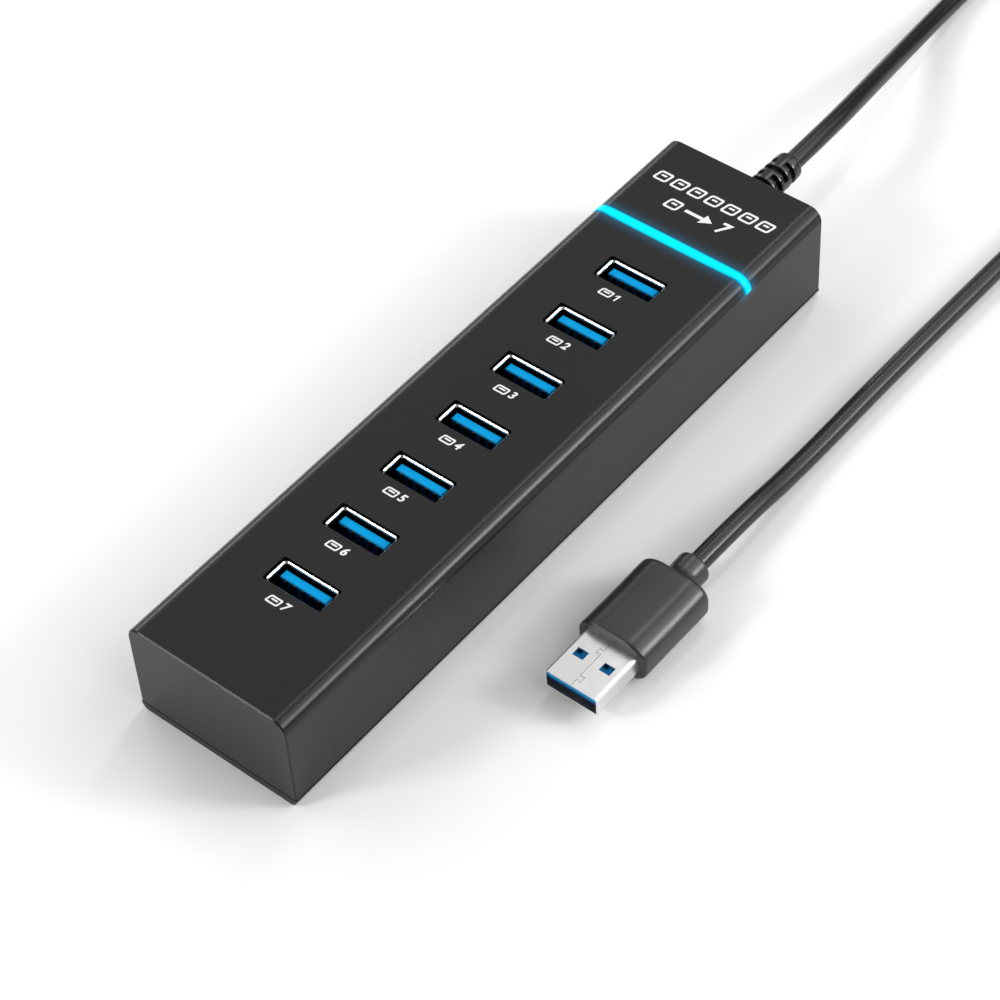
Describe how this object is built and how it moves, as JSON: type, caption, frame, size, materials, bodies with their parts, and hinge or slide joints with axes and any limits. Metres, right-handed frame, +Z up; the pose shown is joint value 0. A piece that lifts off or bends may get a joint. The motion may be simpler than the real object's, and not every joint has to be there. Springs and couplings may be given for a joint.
{
  "type": "usb hub",
  "caption": "Bar-shaped black desk hub with a row of upright type-A sockets, a lit strip across the top and a captive cable ending in a type-A plug.",
  "frame": {"origin": "centre of the casing's footprint on the surface it stands on, without the cable", "axes": "+Z up, +Y along the casing towards the cable's exit, +X across it towards the plug"},
  "size_m": [0.0712, 0.2879, 0.0235],
  "materials": {
    "casing": "fine satin ABS moulding",
    "lit_bar": "milky light-guide plastic, lit from inside",
    "board": "green solder mask on fibreglass",
    "chip": "black epoxy",
    "can": "drawn can",
    "capacitor_sleeve": "shrink sleeve",
    "fuse": "coated chip",
    "ceramic_chip": "fired ceramic",
    "led": "clear resin in a white cup",
    "screw": "zinc plated",
    "cable_rubber": "soft moulded PVC",
    "cable_jacket": "smooth PVC sheath",
    "wire": "thin insulated wires",
    "grip": "satin moulded PVC",
    "connector_shell": "bright nickel on steel",
    "blue_insulator": "blue glass-filled nylon",
    "contact": "gold flashed"
  },
  "bodies": {
    "root": {"bar_leds": "led", "base_cover": "casing", "base_screws": "screw", "board_screws": "screw", "bulk_capacitors": "capacitor_sleeve", "cable_grommet": "cable_rubber", "cable_tail": "cable_jacket", "cable_wires": "wire", "chip_capacitors": "ceramic_chip", "chip_resistors": "chip", "circuit_board": "board", "cord": "cable_jacket", "crystals": "can", "hub_chip_a": "chip", "hub_chip_b": "chip", "light_bar": "lit_bar", "plug_contacts": "contact", "plug_insulator": "blue_insulator", "plug_overmold": "grip", "plug_shell": "connector_shell", "port_1_contacts": "contact", "port_1_shell": "connector_shell", "port_1_tongue": "blue_insulator", "port_2_contacts": "contact", "port_2_shell": "connector_shell", "port_2_tongue": "blue_insulator", "port_3_contacts": "contact", "port_3_shell": "connector_shell", "port_3_tongue": "blue_insulator", "port_4_contacts": "contact", "port_4_shell": "connector_shell", "port_4_tongue": "blue_insulator", "port_5_contacts": "contact", "port_5_shell": "connector_shell", "port_5_tongue": "blue_insulator", "port_6_contacts": "contact", "port_6_shell": "connector_shell", "port_6_tongue": "blue_insulator", "port_7_contacts": "contact", "port_7_shell": "connector_shell", "port_7_tongue": "blue_insulator", "port_fuses": "fuse", "power_inductor": "chip", "upper_shell": "casing", "voltage_regulator": "chip"}
  },
  "joints": []
}
